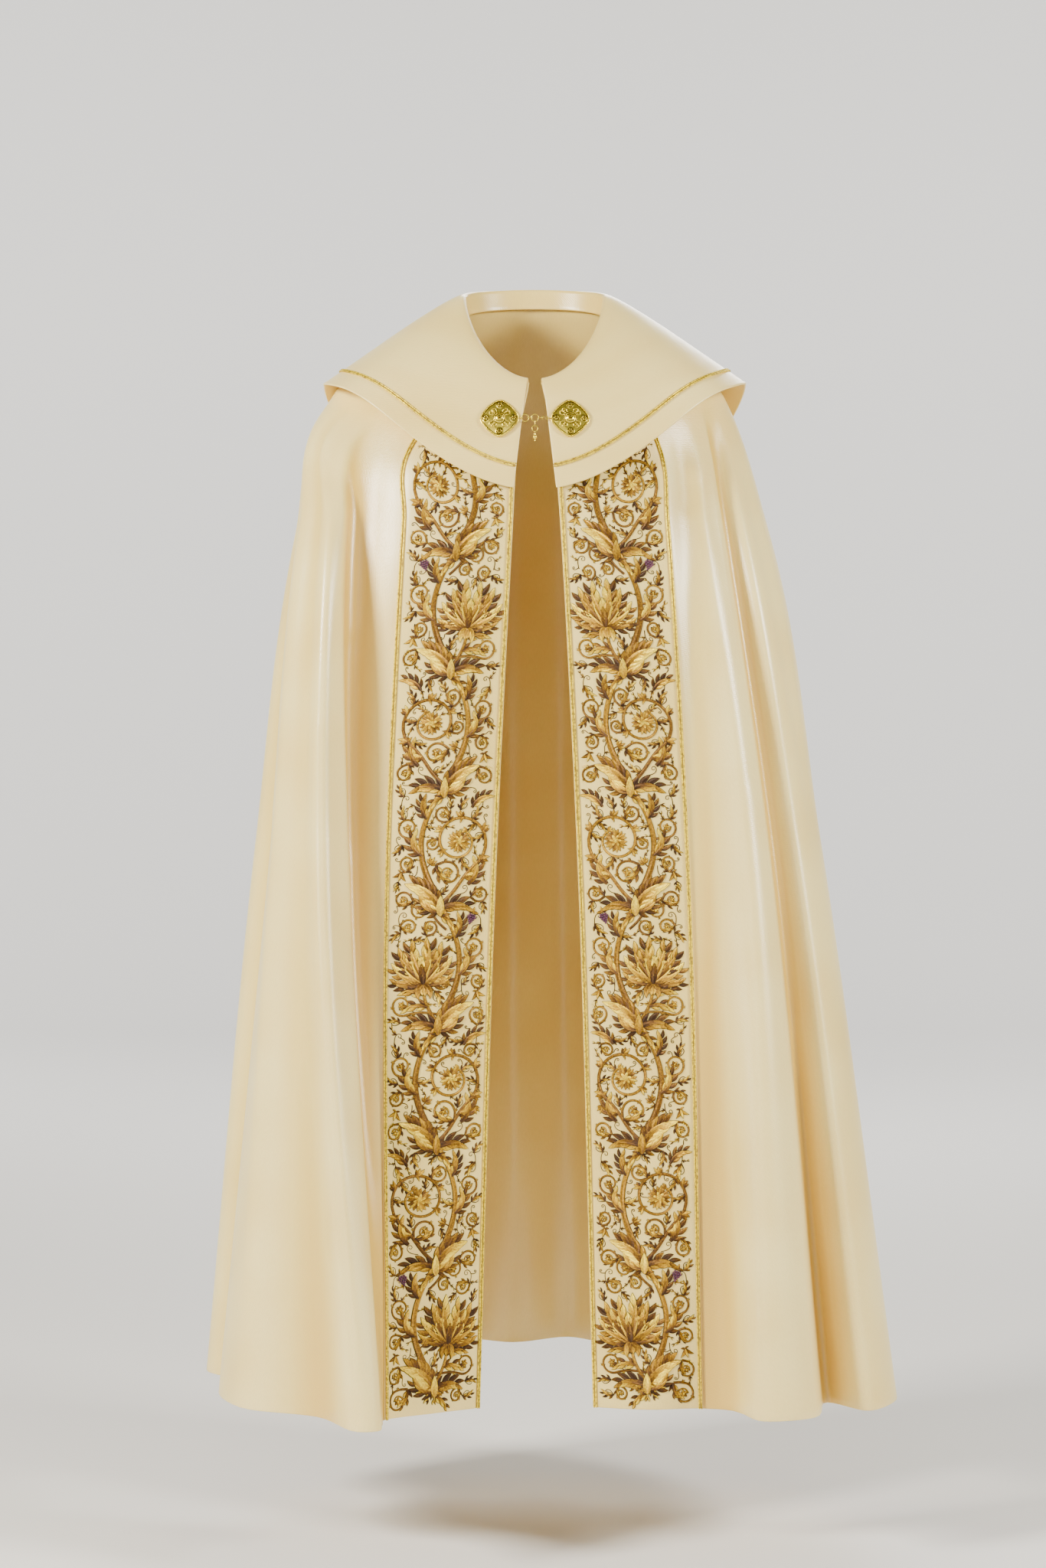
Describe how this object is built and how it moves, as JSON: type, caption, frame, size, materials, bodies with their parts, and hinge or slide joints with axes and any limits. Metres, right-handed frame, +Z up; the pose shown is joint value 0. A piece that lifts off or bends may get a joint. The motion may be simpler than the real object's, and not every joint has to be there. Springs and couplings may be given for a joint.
{
  "type": "cope vestment",
  "caption": "Open ceremonial cloak in ivory satin with embroidered front bands, a falling collar and a chained clasp with a pendant.",
  "frame": {"origin": "Midway between the shoulders at the height where the neck meets them, which is where the wearer carries it.", "axes": "+Z is up and the open front looks along -Y. +X runs to the right of somebody who looks at the front."},
  "size_m": [0.856, 0.648, 1.3704],
  "materials": {
    "ivory_satin": "ivory satin weave with a soft sheen",
    "orphrey_embroidery": "ivory ground with gold and brown silk embroidery",
    "gold_braid": "woven metallic gold braid",
    "gilt_brass": "polished gilt brass, darkened in the hollows"
  },
  "bodies": {
    "vestment": {"cloak": "ivory_satin", "collar": "ivory_satin", "orphrey_left": "orphrey_embroidery", "orphrey_right": "orphrey_embroidery", "braid_left_front": "gold_braid", "braid_left_outer": "gold_braid", "braid_right_front": "gold_braid", "braid_right_outer": "gold_braid", "collar_braid": "gold_braid", "plate_left": "gilt_brass", "plate_right": "gilt_brass", "eye_left": "gilt_brass", "eye_right": "gilt_brass", "ring_left": "gilt_brass", "ring_middle": "gilt_brass", "link_left": "gilt_brass", "link_right": "gilt_brass", "hook": "gilt_brass"},
    "pendant_link": {"pendant_link": "gilt_brass"},
    "pendant_drop": {"drop_ring": "gilt_brass", "drop_bail": "gilt_brass", "drop_bead": "gilt_brass"}
  },
  "joints": [
    {"name": "pendant_sway", "type": "hinge", "parent": "vestment", "child": "pendant_link", "pos_m": [0, -0.1533, -0.1568], "axis": [0, 1, 0], "range_deg": [-35, 35]},
    {"name": "pendant_swing", "type": "hinge", "parent": "pendant_link", "child": "pendant_drop", "pos_m": [0, -0.1533, -0.166], "axis": [1, 0, 0], "range_deg": [-60, 10]}
  ]
}
